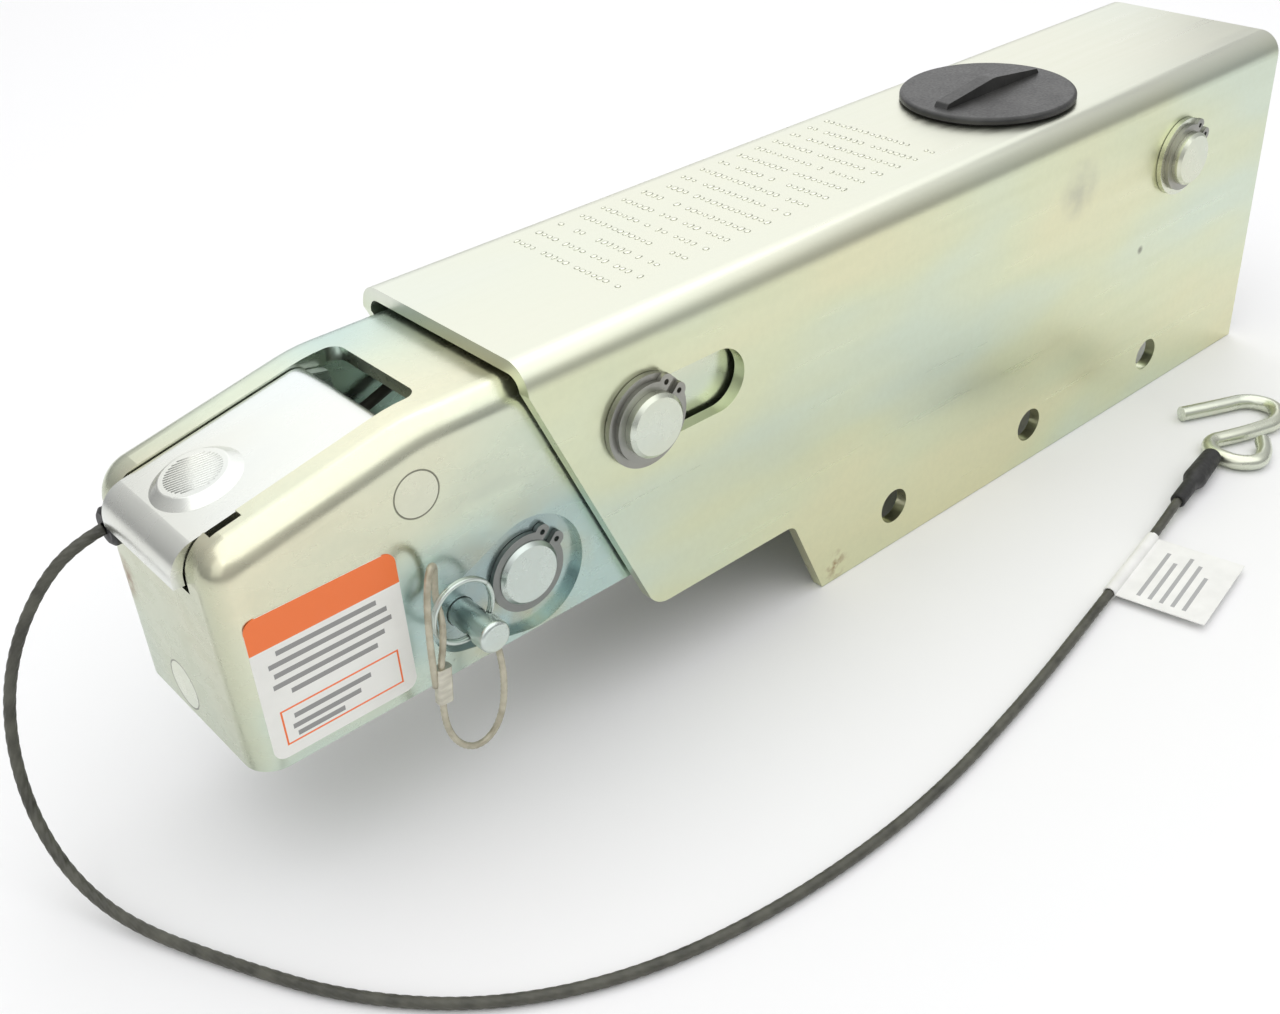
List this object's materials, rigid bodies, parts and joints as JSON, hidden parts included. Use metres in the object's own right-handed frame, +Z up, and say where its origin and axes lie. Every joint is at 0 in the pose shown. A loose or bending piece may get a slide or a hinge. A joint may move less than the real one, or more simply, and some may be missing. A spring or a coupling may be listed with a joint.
{
  "type": "surge brake actuator",
  "caption": "Folded steel tongue case with a sliding ball coupler, latch handle, lock pin, hydraulic master cylinder and a breakaway cable with a hook.",
  "frame": {"origin": "on the plane of the case's bottom edges, straight below the front edge of the case's top, on the mid-plane", "axes": "+X rearward along the trailer tongue, +Z up, -Y towards the side with the label and lock pin"},
  "size_m": [0.557, 0.21, 0.1507],
  "materials": {
    "zinc_plate": "satin zinc plate with a pale yellow-green tint",
    "zinc_bright": "bright zinc plate",
    "dark_steel": "oiled dark steel",
    "cast_metal": "as cast",
    "damper_paint": "black gloss",
    "brass": "machined",
    "black_plastic": "moulded, fine grain",
    "black_rubber": "matt",
    "cable_cover": "twisted wire rope under thin vinyl",
    "lanyard_wire": "coated thin wire",
    "ferrule_metal": "crimped",
    "label_film": "printed film"
  },
  "bodies": {
    "case": {"outer_case": "zinc_plate", "rear_pin": "zinc_bright", "rear_pin_washers": "zinc_bright", "rear_pin_snap_rings": "dark_steel", "master_cylinder": "cast_metal", "outlet_fitting": "brass", "cap_gasket": "black_rubber", "damper_body": "damper_paint", "piston_retainer": "dark_steel"},
    "cap": {"filler_cap": "black_plastic"},
    "coupler": {"coupler_body": "zinc_plate", "slide_pin": "zinc_bright", "slide_pin_washers": "dark_steel", "slide_pin_snap_rings": "dark_steel", "ball_socket": "zinc_bright", "socket_rivet": "zinc_bright", "jaw_pivot_pin": "zinc_bright", "jaw_pin_snap_rings": "dark_steel", "handle_pin": "zinc_bright", "side_label": "label_film", "cable_grommet": "black_rubber", "breakaway_cable": "cable_cover", "breakaway_cable_inner": "cable_cover", "cable_nipple": "zinc_bright", "cable_sleeve": "black_rubber", "s_hook": "zinc_bright", "cable_flag": "label_film", "damper_rod": "zinc_bright", "lever_pin": "zinc_bright", "pawl_pin": "zinc_bright"},
    "handle": {"latch_handle": "zinc_bright"},
    "jaw": {"ball_jaw": "zinc_bright"},
    "lock": {"lock_pin": "dark_steel", "pin_ring": "dark_steel", "lanyard": "lanyard_wire", "lanyard_ferrule": "ferrule_metal"},
    "lever": {"breakaway_lever": "zinc_bright"},
    "rod": {"push_rod": "zinc_bright", "piston": "cast_metal", "piston_seals": "black_rubber"},
    "pawl": {"reset_pawl": "zinc_bright"}
  },
  "joints": [
    {"name": "coupler_slide", "type": "slide", "parent": "case", "child": "coupler", "axis": [1, 0, 0], "range_m": [0, 0.032]},
    {"name": "cap_turn", "type": "hinge", "parent": "case", "child": "cap", "pos_m": [0.2624, 0, 0.1433], "axis": [0, 0, 1], "range_deg": [0, 120]},
    {"name": "handle_lift", "type": "hinge", "parent": "coupler", "child": "handle", "pos_m": [-0.0375, 0, 0.1152], "axis": [0, 1, 0], "range_deg": [0, 58]},
    {"name": "jaw_swing", "type": "hinge", "parent": "coupler", "child": "jaw", "pos_m": [-0.0026, 0, 0.069], "axis": [0, -1, 0], "range_deg": [0, 18]},
    {"name": "lock_pin_pull", "type": "slide", "parent": "coupler", "child": "lock", "axis": [0, -1, 0], "range_m": [0, 0.082]},
    {"name": "lever_swing", "type": "hinge", "parent": "coupler", "child": "lever", "pos_m": [0.092, 0, 0.097], "axis": [0, -1, 0], "range_deg": [0, 25]},
    {"name": "rod_push", "type": "slide", "parent": "coupler", "child": "rod", "axis": [1, 0, 0], "range_m": [0, 0.0088]},
    {"name": "pawl_lift", "type": "hinge", "parent": "coupler", "child": "pawl", "pos_m": [0.106, 0, 0.066], "axis": [0, 1, 0], "range_deg": [0, 10]}
  ],
  "couplings": [
    {"joint": "jaw_swing", "follows": "handle_lift", "ratio": 0.3103},
    {"joint": "rod_push", "follows": "lever_swing", "m_per_rad": 0.02}
  ]
}
